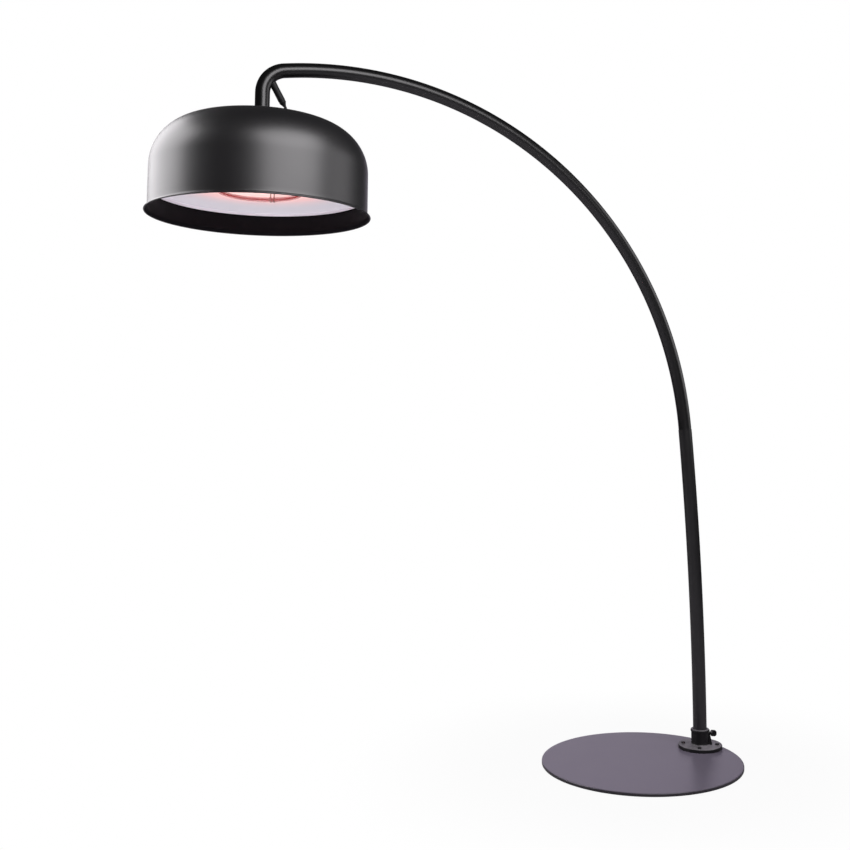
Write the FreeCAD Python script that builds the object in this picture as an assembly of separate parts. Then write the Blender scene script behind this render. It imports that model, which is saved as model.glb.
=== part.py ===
import FreeCAD, Part
import math
import os

# Arc-arm electric patio heater. Millimetres, +Z up.
# The origin is the centre of the base's underside. The pole stands on the +X side, the arm reaches to -X.
# Pieces on the arm are modelled in the arm's own frame, with the pole axis on Z, and then placed.

V = FreeCAD.Vector
UP = V(0, 0, 1)

# Base
base_diameter = 540.0
base_thickness = 8.0
base_edge_round = 2.0
pad_inset = 20.0
pad_thickness = 2.0
pole_inset = 58.0
arm_swivel = -8.9

# Socket and clamp
flange_diameter = 122.0
flange_thickness = 9.5
flange_round = 2.0
collar_diameter = 49.0
collar_height = 42.0
collar_bead = 4.0
root_fillet = 5.0
bolt_circle = 94.0
bolt_count = 4
bolt_diameter = 6.0
bolt_head_diameter = 11.0
bolt_head_height = 4.0
bolt_head_round = 1.8
bolt_drive = 4.0
bolt_first_angle = 45.0
socket_floor = 3.0
clamp_angle = -45.0
clamp_height = 31.0
clamp_diameter = 8.0
clamp_boss_diameter = 18.0
clamp_boss_reach = 27.0
clamp_rib_reach = 34.0
clamp_rib_width = 10.0
clamp_shank_out = 3.0
paddle_hub_diameter = 11.0
paddle_hub_length = 5.0
paddle_length = 16.0
paddle_height = 17.0
paddle_thickness = 4.5
paddle_edge_round = 0.8

# Pole and arm
pole_diameter = 38.0
pole_wall = 1.5
pole_straight = 81.0
pole_bow_length = 816.0
pole_lean = 4.72
arc_diameter = 36.5
arc_wall = 1.5
arc_radius = 994.0
arc_turn = 95.85
hook_radius = 64.7
tail_length = 61.0
sleeve_half = 70.0
sleeve_wall = 3.0
foot_cap_depth = 25.0
foot_cap_rim = 4.0
grommet_height = 150.0
grommet_angle = 65.0
grommet_bore = 9.0
grommet_diameter = 20.0
grommet_hole = 14.0
grommet_lip = 3.0

# Shade
shade_diameter = 525.0
shade_height = 247.0
shoulder_radius = 120.0
crown_rise = 16.5
shade_sheet = 1.2
lip_reach = 6.5
lip_height = 10.0
lip_bead = 4.0

# Head fixing
washer_diameter = 62.0
washer_thickness = 4.0
washer_edge = 1.5
stud_diameter = 12.0
plug_depth = 40.0
backing_diameter = 150.0
backing_thickness = 3.0
nut_across = 22.0
nut_height = 10.0
stud_end = 6.0

# Lead between the arm and the shade
lead_diameter = 7.0
boot_heading = 147.0
boot_tilt = 29.5
boot_length = 64.0
boot_root_diameter = 18.0
boot_tip_diameter = 17.0
boot_nose_round = 5.0
lead_drop = 9.0
lead_bend = 20.0
lead_turn = 40.0
gland_diameter = 18.0
gland_height = 13.0
gland_round = 3.0
gland_sink = 3.0
gland_thread_end = 3.0
gland_thread = 14.0
gland_nut_across = 20.0
gland_nut_height = 5.0

# Reflector and heating element
reflector_gap = 3.0
reflector_height = 52.0
reflector_sheet = 1.0
reflector_rim = 7.5
reflector_bend = 2.0
pan_floor_radius = 145.0
pan_rise = 25.0
post_count = 3
post_radius = 58.0
post_diameter = 8.0
post_screw_diameter = 5.0
post_screw_head = 10.0
post_screw_head_height = 3.0
post_screw_head_round = 1.5
post_screw_length = 12.0
post_hole_spare = 2.0
post_first_angle = 60.0
element_radius = 100.0
element_drop = 21.0
element_tube = 12.0
element_glass = 1.2
filament_diameter = 4.0
element_gap = 26.0
element_gap_angle = 245.0
cap_diameter = 17.0
cap_length = 20.0
cap_socket = 4.0
cap_leg_diameter = 9.0
clip_count = 3
clip_first_angle = 61.0
clip_strip = 1.2
clip_leg = 2.0
clip_width = 11.0
clip_foot = 9.0

# Wiring on top of the reflector
block_length = 42.0
block_width = 22.0
block_height = 18.0
block_round = 2.0
block_poles = 3
block_hole = 4.4
block_pitch = 6.6
block_inset = 14.0
cutout_diameter = 16.0
cutout_height = 9.0
cutout_ear = 24.0
cutout_angle = 120.0
switch_length = 34.0
switch_width = 26.0
switch_height = 30.0
switch_round = 3.0
switch_angle = 200.0
wire_diameter = 3.0
wire_rise = 16.0

# Clearances
thread_clearance = 0.05
swivel_clearance = 0.05
slip_clearance = 0.2
screw_tip_gap = 0.3

touch = 0.01

lean = math.radians(pole_lean)
pad_diameter = base_diameter - 2 * pad_inset
pole_offset = base_diameter / 2 - pole_inset
base_top = pad_thickness + base_thickness
socket_base = base_top
flange_top = socket_base + flange_thickness
collar_top = flange_top + collar_height
pole_bottom = socket_base + socket_floor + foot_cap_rim
clamp_z = flange_top + clamp_height
bow_radius = pole_bow_length / lean


def on_arc(centre, radius, heading):
    """Point of an arc in the arm's plane where the tube's heading has turned this far from straight up."""
    return centre + V(math.cos(heading), 0, math.sin(heading)) * radius


def arc_edge(centre, radius, start, end):
    middle = (start + end) / 2
    points = [on_arc(centre, radius, heading) for heading in (start, middle, end)]
    return Part.Arc(*points).toShape()


bow_centre = V(-bow_radius, 0, pole_straight)
pole_top = on_arc(bow_centre, bow_radius, lean)
arc_centre = pole_top - V(math.cos(lean), 0, math.sin(lean)) * arc_radius
arc_end = lean + math.radians(arc_turn)
hook_start = on_arc(arc_centre, arc_radius, arc_end)
hook_centre = hook_start - V(math.cos(arc_end), 0, math.sin(arc_end)) * hook_radius
tail_start = on_arc(hook_centre, hook_radius, math.pi)
tail_end = tail_start - UP * tail_length

head_x = tail_end.x
shade_top = tail_end.z - washer_thickness
rim_z = shade_top - shade_height
dome_height = shoulder_radius + crown_rise
shade_wall_height = shade_height - dome_height
wall_radius = shade_diameter / 2
shoulder_x = wall_radius - shoulder_radius
crown_radius = (shoulder_x ** 2 + dome_height ** 2 - shoulder_radius ** 2) / (2 * crown_rise)
crown_centre = V(0, 0, shade_top - crown_radius)
shoulder_centre = V(shoulder_x, 0, rim_z + shade_wall_height)
reflector_z = rim_z + reflector_height
pan_z = reflector_z + reflector_rim
floor_z = pan_z + pan_rise
element_z = floor_z - element_drop
block_radius = pan_floor_radius - block_length / 2 - block_inset


def turned(angle, distance=1.0):
    radians = math.radians(angle)
    return V(math.cos(radians), math.sin(radians), 0) * distance


def rod(diameter, length, start=V(0, 0, 0), direction=UP):
    return Part.makeCylinder(diameter / 2, length, start, direction)


def hexagon(across, height, start):
    corners = [start + turned(60 * i, across / math.sqrt(3)) for i in range(7)]
    return Part.Face(Part.makePolygon(corners)).extrude(UP * height)


def revolved(edges):
    """Solid of revolution about Z from a closed outline of edges in the XZ plane."""
    return Part.Face(Part.Wire(edges)).revolve(V(0, 0, 0), UP, 360)


def outline(points):
    return [Part.makeLine(a, b) for a, b in zip(points, points[1:] + points[:1])]


def swept(edges, diameter):
    path = Part.Wire(edges)
    start = edges[0].valueAt(edges[0].FirstParameter)
    heading = edges[0].tangentAt(edges[0].FirstParameter)
    section = Part.Wire(Part.makeCircle(diameter / 2, start, heading))
    return path.makePipeShell([section], True, False)


def hollow(edges, diameter, wall):
    return swept(edges, diameter).cut(swept(edges, diameter - 2 * wall))


def rounded_route(points, radii):
    """Straight runs joined by tangent arcs, with one radius for each corner."""
    edges = []
    start = points[0]
    for before, corner, after, radius in zip(points, points[1:], points[2:], radii):
        incoming = (corner - before).normalize()
        outgoing = (after - corner).normalize()
        turn = incoming.getAngle(outgoing)
        reach = radius * math.tan(turn / 2)
        first = corner - incoming * reach
        last = corner + outgoing * reach
        inward = (outgoing - incoming).normalize()
        middle = corner + inward * (radius / math.cos(turn / 2) - radius)
        edges.append(Part.makeLine(start, first))
        edges.append(Part.Arc(first, middle, last).toShape())
        start = last
    edges.append(Part.makeLine(start, points[-1]))
    return edges


def at_head(shape):
    return shape.translated(V(head_x, 0, 0))


def on_base(shape):
    return shape.translated(V(pole_offset, 0, 0))


def on_arm(shape):
    """From the arm's own frame to the assembly: turned in the socket, then set over the pole's foot."""
    return on_base(shape.rotated(V(0, 0, 0), UP, arm_swivel))


# Base body

def bolt_places():
    step = 360 / bolt_count
    return [turned(bolt_first_angle + step * i, bolt_circle / 2) for i in range(bolt_count)]


def make_base_plate():
    plate = rod(base_diameter, base_thickness, UP * pad_thickness)
    rim = [edge for edge in plate.Edges if edge.BoundBox.ZMin > base_top - touch]
    plate = plate.makeFillet(base_edge_round, rim)
    for place in bolt_places():
        hole = rod(bolt_diameter + 2 * thread_clearance, base_thickness, place + UP * pad_thickness)
        plate = plate.cut(on_base(hole))
    return plate


def make_base_pad():
    return rod(pad_diameter, pad_thickness)


def clamp_direction():
    return turned(clamp_angle)


def make_socket():
    collar_r = collar_diameter / 2
    flange_r = flange_diameter / 2
    bore_r = pole_diameter / 2 + swivel_clearance
    bead_r = collar_r + collar_bead / 2
    bottom = socket_base + socket_floor
    corner = V(collar_r + root_fillet, 0, flange_top + root_fillet)
    rounding = Part.Arc(V(collar_r, 0, corner.z), corner - V(1, 0, 1) * (root_fillet / math.sqrt(2)),
                        V(corner.x, 0, flange_top)).toShape()
    bead_low = collar_top - collar_bead
    bead = Part.Arc(V(collar_r, 0, collar_top), V(bead_r, 0, collar_top - collar_bead / 2),
                    V(collar_r, 0, bead_low)).toShape()
    brim = V(flange_r - flange_round, 0, flange_top)
    edge_low = V(flange_r, 0, flange_top - flange_round)
    edge_middle = V(brim.x, 0, edge_low.z) + V(1, 0, 1) * (flange_round / math.sqrt(2))
    edge = Part.Arc(brim, edge_middle, edge_low).toShape()
    straight = [edge_low, V(flange_r, 0, socket_base), V(0, 0, socket_base), V(0, 0, bottom),
                V(bore_r, 0, bottom), V(bore_r, 0, collar_top), V(collar_r, 0, collar_top)]
    lines = [Part.makeLine(a, b) for a, b in zip(straight, straight[1:])]
    side = Part.makeLine(V(collar_r, 0, bead_low), V(collar_r, 0, corner.z))
    top = Part.makeLine(V(corner.x, 0, flange_top), brim)
    socket = revolved([top, edge] + lines + [bead, side, rounding])
    out = clamp_direction()
    boss = rod(clamp_boss_diameter, clamp_boss_reach, UP * clamp_z, out)
    rib_foot = flange_top - flange_thickness / 2
    rib_points = [UP * rib_foot, UP * rib_foot + out * clamp_rib_reach,
                  UP * clamp_z + out * clamp_boss_reach, UP * clamp_z]
    rib = Part.Face(Part.makePolygon(rib_points + rib_points[:1]))
    across = out.cross(UP) * clamp_rib_width
    rib = rib.translated(across * -0.5).extrude(across)
    socket = socket.fuse([boss, rib])
    socket = socket.cut(rod(2 * bore_r, collar_top, UP * bottom))
    tapped = clamp_diameter + 2 * thread_clearance
    socket = socket.cut(rod(tapped, 2 * clamp_boss_reach, UP * clamp_z, out))
    for place in bolt_places():
        hole = rod(bolt_diameter + 2 * slip_clearance, 2 * flange_thickness, place + UP * socket_base)
        socket = socket.cut(hole)
    return on_base(socket.removeSplitter())


def make_flange_bolts():
    bolts = []
    for place in bolt_places():
        shank = rod(bolt_diameter, flange_thickness + base_thickness, place + UP * pad_thickness)
        head = rod(bolt_head_diameter, bolt_head_height, place + UP * flange_top)
        crown = [edge for edge in head.Edges if edge.BoundBox.ZMin > flange_top + bolt_head_height - touch]
        head = head.makeFillet(bolt_head_round, crown)
        drive = hexagon(bolt_drive, bolt_head_height, place + UP * (flange_top + bolt_head_height / 2))
        bolts.append(on_base(head.cut(drive).fuse(shank)))
    return Part.makeCompound(bolts)


def make_clamp_screw():
    """Thumb screw with a flat paddle, modelled along +X from the pole's axis and then turned round."""
    out = V(1, 0, 0)
    tip = pole_diameter / 2 + screw_tip_gap
    hub_start = clamp_boss_reach + clamp_shank_out
    screw = rod(clamp_diameter, hub_start - tip, out * tip, out)
    hub = rod(paddle_hub_diameter, paddle_hub_length, out * hub_start, out)
    half = paddle_height / 2
    root = paddle_hub_diameter / 3
    end = hub_start + paddle_length
    shoulder = hub_start + paddle_length / 3
    corners = [V(hub_start, 0, -root), V(shoulder, 0, -half), V(end, 0, -half),
               V(end, 0, half), V(shoulder, 0, half), V(hub_start, 0, root)]
    paddle = Part.Face(Part.makePolygon(corners + corners[:1]))
    paddle = paddle.translated(V(0, -paddle_thickness / 2, 0)).extrude(V(0, paddle_thickness, 0))
    outer = [edge for edge in paddle.Edges if edge.BoundBox.YLength > paddle_thickness / 2
             and edge.BoundBox.XMin > shoulder - touch]
    paddle = paddle.makeFillet(paddle_length / 4, outer)
    flat = [edge for edge in paddle.Edges if edge.BoundBox.YLength < touch]
    paddle = paddle.makeFillet(paddle_edge_round, flat)
    screw = screw.fuse([hub, paddle]).removeSplitter()
    screw = screw.rotated(V(0, 0, 0), UP, clamp_angle)
    return on_base(screw.translated(UP * clamp_z))


# Arm body

def pole_edges():
    foot = V(0, 0, pole_bottom)
    upright = Part.makeLine(foot, V(0, 0, pole_straight))
    return [upright, arc_edge(bow_centre, bow_radius, 0, lean)]


def arm_edges():
    main = arc_edge(arc_centre, arc_radius, lean, arc_end)
    hook = arc_edge(hook_centre, hook_radius, arc_end, math.pi)
    return [main, hook, Part.makeLine(tail_start, tail_end)]


def make_pole_tube():
    pole = hollow(pole_edges(), pole_diameter, pole_wall)
    hole = rod(grommet_hole, pole_diameter, UP * grommet_height, turned(grommet_angle))
    return on_arm(pole.cut(hole))


def make_foot_cap():
    bore = pole_diameter - 2 * pole_wall - 2 * thread_clearance
    rim = rod(pole_diameter, foot_cap_rim, UP * (pole_bottom - foot_cap_rim))
    body = rod(bore, foot_cap_depth, UP * pole_bottom)
    hollow_body = rod(bore - 2 * sleeve_wall, foot_cap_depth, UP * pole_bottom)
    return on_arm(rim.fuse(body.cut(hollow_body)))


def make_cord_grommet():
    """Rubber bush in the back of the pole, where the supply cord leaves it."""
    out = turned(grommet_angle)
    centre = UP * grommet_height
    outer = pole_diameter / 2
    neck = rod(grommet_hole - 2 * thread_clearance, pole_wall + 2 * grommet_lip,
               centre + out * (outer - pole_wall - grommet_lip), out)
    collar = rod(grommet_diameter, 2 * grommet_lip, centre + out * (outer - grommet_lip), out)
    collar = collar.cut(rod(pole_diameter, 2 * grommet_diameter, UP * (grommet_height - grommet_diameter)))
    bore = rod(grommet_bore, pole_diameter, centre, out)
    return on_arm(neck.fuse(collar).cut(bore))


def make_joint_sleeve():
    low = arc_edge(bow_centre, bow_radius, lean - sleeve_half / bow_radius, lean)
    high = arc_edge(arc_centre, arc_radius, lean, lean + sleeve_half / arc_radius)
    pole_fit = pole_diameter - 2 * pole_wall - 2 * thread_clearance
    arc_fit = arc_diameter - 2 * arc_wall - 2 * thread_clearance
    sleeve = swept([low], pole_fit).fuse(swept([high], arc_fit))
    sleeve = sleeve.cut(swept([low, high], arc_fit - 2 * sleeve_wall))
    return on_arm(sleeve)


def boot_root():
    heading = math.radians(boot_heading)
    return on_arc(hook_centre, hook_radius - arc_diameter / 2, heading)


def boot_direction():
    tilt = math.radians(boot_tilt)
    return V(math.sin(tilt), 0, -math.cos(tilt))


def boot_tip():
    return boot_root() + boot_direction() * boot_length


def make_arc_tube():
    arm = hollow(arm_edges(), arc_diameter, arc_wall)
    start = boot_root() - boot_direction() * arc_diameter / 2
    outlet = rod(lead_diameter + 2 * slip_clearance, arc_diameter, start, boot_direction())
    return on_arm(arm.cut(outlet))


def make_lead_boot():
    """Tapered strain relief seated on the inside of the hook."""
    sink = arc_diameter / 3
    start = boot_root() - boot_direction() * sink
    length = boot_length + sink
    boot = Part.makeCone(boot_root_diameter / 2, boot_tip_diameter / 2, length, start, boot_direction())
    tip = boot_tip()
    nose = [edge for edge in boot.Edges if edge.CenterOfMass.distanceToPoint(tip) < touch]
    boot = boot.makeFillet(boot_nose_round, nose)
    boot = boot.cut(swept(arm_edges(), arc_diameter))
    bore = rod(lead_diameter, 2 * length, start, boot_direction())
    return on_arm(boot.cut(bore))


def lead_corner():
    return boot_tip() + boot_direction() * lead_drop


def gland_x():
    return lead_corner().x - head_x


def crown_z(radius, inset=0.0):
    """Height of the crown at a distance from the head's axis, measured this far inside its outer face."""
    return crown_centre.z + math.sqrt((crown_radius - inset) ** 2 - radius ** 2)


def block_place():
    return V(block_radius, 0, floor_z + reflector_sheet)


def make_head_lead():
    """Lead from the hook's strain relief, through the shade's gland, to the terminal block."""
    axis = V(head_x, 0, 0)
    corner = lead_corner() - axis
    end = block_place() + UP * block_height
    middle = (crown_z(corner.x) + end.z) / 2
    half_shift = (end.x - corner.x) / 2
    turn = V(corner.x, 0, middle + half_shift)
    above = V(end.x, 0, middle - half_shift)
    route = rounded_route([boot_root() - axis, corner, turn, above, end], [lead_bend, lead_turn, lead_turn])
    return on_arm(at_head(swept(route, lead_diameter)))


def make_end_plug():
    bore = arc_diameter - 2 * arc_wall - 2 * thread_clearance
    plug = rod(bore, plug_depth, UP * tail_end.z)
    stud_low = crown_z(0, shade_sheet + backing_thickness) - nut_height - stud_end
    stud = rod(stud_diameter, tail_end.z + plug_depth / 2 - stud_low, UP * stud_low)
    return on_arm(at_head(plug.fuse(stud)))


def make_top_washer():
    radius = washer_diameter / 2
    skirt = crown_z(radius)
    disc = revolved(outline([V(0, 0, tail_end.z), V(arc_diameter / 2, 0, tail_end.z),
                             V(radius, 0, skirt + washer_edge), V(radius, 0, skirt - washer_edge),
                             V(0, 0, skirt - washer_edge)]))
    ball = Part.makeSphere(crown_radius, crown_centre)
    hole = rod(stud_diameter + 2 * slip_clearance, 2 * shade_height, UP * rim_z)
    return on_arm(at_head(disc.cut(ball).cut(hole)))


def shade_outline(inset):
    """Outer face of the shade, or the inner one, from the rim's bead up to the axis."""
    wall = wall_radius - inset
    shoulder = shoulder_radius - inset
    crown = crown_radius - inset
    rise = (shoulder_centre - crown_centre).normalize()
    join = shoulder_centre + rise * shoulder
    half = math.atan2(rise.z, rise.x) / 2
    shoulder_middle = shoulder_centre + V(math.cos(half), 0, math.sin(half)) * shoulder
    tilt = (math.pi / 2 + 2 * half) / 2
    crown_middle = crown_centre + V(math.cos(tilt), 0, math.sin(tilt)) * crown
    wall_top = V(wall, 0, shoulder_centre.z)
    flare_top = V(wall, 0, rim_z + lip_height)
    lip_drop = lip_height - lip_bead / 2
    lip_radius = (lip_reach ** 2 + lip_drop ** 2) / (2 * lip_reach)
    lip_turn = math.atan2(lip_drop, lip_radius - lip_reach)
    lip = flare_top + V(lip_reach, 0, -lip_drop)
    bend = flare_top + V(1 - math.cos(lip_turn / 2), 0, -math.sin(lip_turn / 2)) * lip_radius
    return [Part.Arc(lip, bend, flare_top).toShape(),
            Part.makeLine(flare_top, wall_top),
            Part.Arc(wall_top, shoulder_middle, join).toShape(),
            Part.Arc(join, crown_middle, crown_centre + UP * crown).toShape()]


def make_shade():
    outer = shade_outline(0)
    inner = shade_outline(shade_sheet)
    lip_out = outer[0].firstVertex().Point
    lip_in = inner[0].firstVertex().Point
    ends = [Part.makeLine(outer[-1].lastVertex().Point, inner[-1].lastVertex().Point),
            Part.makeLine(lip_in, lip_out)]
    shell = revolved(Part.sortEdges(outer + inner + ends)[0])
    bead_centre = lip_out - V(shade_sheet / 2, 0, 0)
    bead = Part.makeTorus(bead_centre.x, lip_bead / 2, UP * bead_centre.z)
    shell = shell.fuse(bead)
    shell = shell.cut(rod(stud_diameter + 2 * slip_clearance, shade_height, UP * reflector_z))
    shell = shell.cut(rod(gland_thread + 2 * slip_clearance, shade_height, V(gland_x(), 0, reflector_z)))
    return on_arm(at_head(shell))


def make_backing_plate():
    """Domed plate that follows the inside of the crown and carries the reflector's posts."""
    shell = Part.makeSphere(crown_radius - shade_sheet, crown_centre)
    shell = shell.cut(Part.makeSphere(crown_radius - shade_sheet - backing_thickness, crown_centre))
    plate = shell.common(rod(backing_diameter, shade_height, UP * (rim_z + shade_wall_height)))
    plate = plate.cut(rod(stud_diameter + 2 * slip_clearance, shade_height, UP * rim_z))
    clear = gland_nut_across * 2 / math.sqrt(3) + 2 * slip_clearance
    return on_arm(at_head(plate.cut(rod(clear, shade_height, V(gland_x(), 0, reflector_z)))))


def make_lock_nut():
    seat = crown_z(nut_across / math.sqrt(3), shade_sheet + backing_thickness)
    nut = hexagon(nut_across, nut_height, UP * (seat - nut_height))
    bore = rod(stud_diameter + 2 * thread_clearance, 2 * nut_height, UP * (seat - nut_height))
    return on_arm(at_head(nut.cut(bore)))


def make_shade_gland():
    place = V(gland_x(), 0, 0)
    seat = crown_z(gland_x())
    low = crown_z(gland_x(), shade_sheet) - gland_nut_height - gland_thread_end
    body = rod(gland_diameter, gland_height + gland_sink, place + UP * (seat - gland_sink))
    top = [edge for edge in body.Edges if edge.BoundBox.ZMin > seat + gland_height - touch]
    body = body.makeFillet(gland_round, top)
    body = body.cut(Part.makeSphere(crown_radius, crown_centre))
    thread = rod(gland_thread, seat + gland_height / 2 - low, place + UP * low)
    bore = rod(lead_diameter, 4 * gland_height, place + UP * (low - gland_height))
    return on_arm(at_head(body.fuse(thread).cut(bore)))


def make_gland_nut():
    place = V(gland_x(), 0, 0)
    seat = crown_z(gland_x() + gland_nut_across / math.sqrt(3), shade_sheet)
    under = place + UP * (seat - gland_nut_height)
    nut = hexagon(gland_nut_across, gland_nut_height, under)
    bore = rod(gland_thread + 2 * thread_clearance, 2 * gland_nut_height, under)
    return on_arm(at_head(nut.cut(bore)))


def post_places():
    return [turned(post_first_angle + 360 / post_count * i, post_radius) for i in range(post_count)]


def clip_angles():
    return [clip_first_angle + 360 / clip_count * i for i in range(clip_count)]


def cap_angles():
    half = math.degrees((element_gap + cap_length) / 2 / element_radius)
    return [element_gap_angle - half, element_gap_angle + half]


def pan_face(radius, lift):
    """One face of the pan: down-turned rim, bend, shallow cone and flat floor, lifted by the sheet."""
    floor_edge = V(pan_floor_radius, 0, floor_z + lift)
    bend = reflector_bend + lift
    slope = math.atan2(pan_rise, radius - pan_floor_radius)
    hub = V(radius - bend, 0, pan_z - reflector_bend)
    cone_end = hub + V(math.sin(slope), 0, math.cos(slope)) * bend
    middle = slope / 2 + math.pi / 4
    bend_middle = hub + V(math.sin(middle), 0, math.cos(middle)) * bend
    rim_top = V(radius, 0, hub.z)
    return [Part.makeLine(V(radius, 0, reflector_z), rim_top),
            Part.Arc(rim_top, bend_middle, cone_end).toShape(),
            Part.makeLine(cone_end, floor_edge),
            Part.makeLine(floor_edge, V(0, 0, floor_z + lift))]


def make_reflector():
    """White pan with a down-turned rim, hung so that its flat floor lies above the element."""
    radius = wall_radius - shade_sheet - reflector_gap
    lower = pan_face(radius - reflector_sheet, 0)
    upper = pan_face(radius, reflector_sheet)
    ends = [Part.makeLine(lower[0].firstVertex().Point, upper[0].firstVertex().Point),
            Part.makeLine(lower[-1].lastVertex().Point, upper[-1].lastVertex().Point)]
    pan = revolved(Part.sortEdges(lower + upper + ends)[0])
    under = UP * (floor_z - reflector_sheet)
    for place in post_places():
        pan = pan.cut(rod(post_screw_diameter + 2 * slip_clearance, 3 * reflector_sheet, place + under))
    for angle in cap_angles():
        wire_hole = turned(angle, element_radius) + under
        pan = pan.cut(rod(wire_diameter + 2 * slip_clearance, 3 * reflector_sheet, wire_hole))
    return on_arm(at_head(pan))


def make_reflector_posts():
    low = floor_z + reflector_sheet
    high = crown_z(post_radius + post_diameter / 2, shade_sheet + backing_thickness)
    posts = []
    for place in post_places():
        post = rod(post_diameter, high - low, place + UP * low)
        hole_depth = post_screw_length + post_hole_spare
        post = post.cut(rod(post_screw_diameter + 2 * thread_clearance, hole_depth, place + UP * low))
        posts.append(on_arm(at_head(post)))
    return Part.makeCompound(posts)


def make_reflector_screws():
    screws = []
    for place in post_places():
        low = floor_z - post_screw_head_height
        head = rod(post_screw_head, post_screw_head_height, place + UP * low)
        crown = [edge for edge in head.Edges if edge.BoundBox.ZMax < low + touch]
        head = head.makeFillet(post_screw_head_round, crown)
        shank = rod(post_screw_diameter, post_screw_length, place + UP * floor_z)
        screws.append(on_arm(at_head(head.fuse(shank))))
    return Part.makeCompound(screws)


def element_arc(extra):
    """Arc of the element's centre line; extra length is added at both ends."""
    half_gap = math.degrees((element_gap / 2 + cap_length - extra) / element_radius)
    start = element_gap_angle + half_gap
    end = element_gap_angle + 360 - half_gap
    points = [turned(angle, element_radius) + UP * element_z for angle in (start, (start + end) / 2, end)]
    return Part.Arc(*points).toShape()


def make_quartz_tube():
    return on_arm(at_head(hollow([element_arc(cap_socket)], element_tube, element_glass)))


def make_filament():
    return on_arm(at_head(swept([element_arc(cap_socket)], filament_diameter)))


def make_element_caps():
    """Ceramic ends of the element, each on a leg that hangs from the pan's floor."""
    caps = []
    pocket = swept([element_arc(cap_socket)], element_tube)
    for angle in cap_angles():
        place = turned(angle, element_radius) + UP * element_z
        tangent = turned(angle + 90)
        cap = rod(cap_diameter, cap_length, place - tangent * (cap_length / 2), tangent)
        leg = rod(cap_leg_diameter, floor_z - element_z, place)
        caps.append(on_arm(at_head(cap.fuse(leg).cut(pocket))))
    return Part.makeCompound(caps)


def make_element_clips():
    """Clips: a foot on the pan's floor and two thin legs, each with a loop round the quartz tube."""
    clips = []
    inner = element_tube + 2 * thread_clearance
    loop = inner + 2 * clip_strip
    leg_low = element_z + element_tube / 2
    for angle in clip_angles():
        foot = Part.makeBox(clip_foot, clip_width, clip_strip,
                            V(element_radius - clip_foot / 2, -clip_width / 2, floor_z - clip_strip))
        pieces = []
        for side in (-clip_width / 2, clip_width / 2 - clip_leg):
            pieces.append(rod(loop, clip_leg, V(element_radius, side, element_z), V(0, 1, 0)))
            pieces.append(Part.makeBox(2 * clip_strip, clip_leg, floor_z - leg_low,
                                       V(element_radius - clip_strip, side, leg_low)))
        clip = foot.fuse(pieces).rotated(V(0, 0, 0), UP, angle)
        clips.append(on_arm(at_head(clip.cut(swept([element_arc(0)], inner)).removeSplitter())))
    return Part.makeCompound(clips)


def rounded_box(length, width, height, radius, place):
    """Box with rounded upright edges, standing on this place."""
    body = Part.makeBox(length, width, height, place - V(length / 2, width / 2, 0))
    upright = [edge for edge in body.Edges if edge.BoundBox.ZLength > height / 2]
    return body.makeFillet(radius, upright)


def make_terminal_block():
    place = block_place()
    body = rounded_box(block_length, block_width, block_height, block_round, place)
    for i in range(block_poles):
        across = (i - (block_poles - 1) / 2) * block_pitch
        hole = rod(block_hole, block_height, place + V(block_length / 4, across, block_height / 2))
        body = body.cut(hole)
    return on_arm(at_head(body))


def make_thermal_cutout():
    place = turned(cutout_angle, block_radius) + UP * (floor_z + reflector_sheet)
    body = rod(cutout_diameter, cutout_height, place)
    ears = Part.makeBox(cutout_ear, cutout_diameter / 2, reflector_sheet,
                        place - V(cutout_ear / 2, cutout_diameter / 4, 0))
    return on_arm(at_head(body.fuse(ears)))


def make_tip_switch():
    place = turned(switch_angle, block_radius) + UP * (floor_z + reflector_sheet)
    return on_arm(at_head(rounded_box(switch_length, switch_width, switch_height, switch_round, place)))


def make_element_leads():
    """Two wires from the ceramic ends, up through the pan and over to one side of the terminal block."""
    leads = []
    block = block_place()
    for angle, side in zip(cap_angles(), (-1, 1)):
        start = turned(angle, element_radius) + UP * floor_z
        rise = start + UP * wire_rise
        end = block + V(side * block_length / 4, -block_width / 2, block_height / 2)
        over = V(end.x, start.y, rise.z)
        route = [start, rise, over, end - V(0, block_width, 0), end]
        bends = [3 * wire_diameter] * (len(route) - 2)
        leads.append(on_arm(at_head(swept(rounded_route(route, bends), wire_diameter))))
    return Part.makeCompound(leads)


def main():
    makers = {
        "base_plate": make_base_plate,
        "base_pad": make_base_pad,
        "socket": make_socket,
        "flange_bolts": make_flange_bolts,
        "clamp_screw": make_clamp_screw,
        "pole_tube": make_pole_tube,
        "foot_cap": make_foot_cap,
        "cord_grommet": make_cord_grommet,
        "joint_sleeve": make_joint_sleeve,
        "arc_tube": make_arc_tube,
        "end_plug": make_end_plug,
        "top_washer": make_top_washer,
        "lead_boot": make_lead_boot,
        "head_lead": make_head_lead,
        "shade_gland": make_shade_gland,
        "gland_nut": make_gland_nut,
        "shade": make_shade,
        "backing_plate": make_backing_plate,
        "lock_nut": make_lock_nut,
        "reflector": make_reflector,
        "reflector_posts": make_reflector_posts,
        "reflector_screws": make_reflector_screws,
        "quartz_tube": make_quartz_tube,
        "filament": make_filament,
        "element_caps": make_element_caps,
        "element_clips": make_element_clips,
        "element_leads": make_element_leads,
        "terminal_block": make_terminal_block,
        "thermal_cutout": make_thermal_cutout,
        "tip_switch": make_tip_switch,
    }
    os.makedirs("parts", exist_ok=True)
    for name, make in makers.items():
        shape = make()
        shape.exportStep("parts/%s.step" % name)
        box = shape.BoundBox
        print("%-16s solids %d valid %s volume %.0f  x %.0f..%.0f  y %.0f..%.0f  z %.0f..%.0f" % (
            name, len(shape.Solids), shape.isValid(), shape.Volume,
            box.XMin, box.XMax, box.YMin, box.YMax, box.ZMin, box.ZMax))


main()
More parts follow.
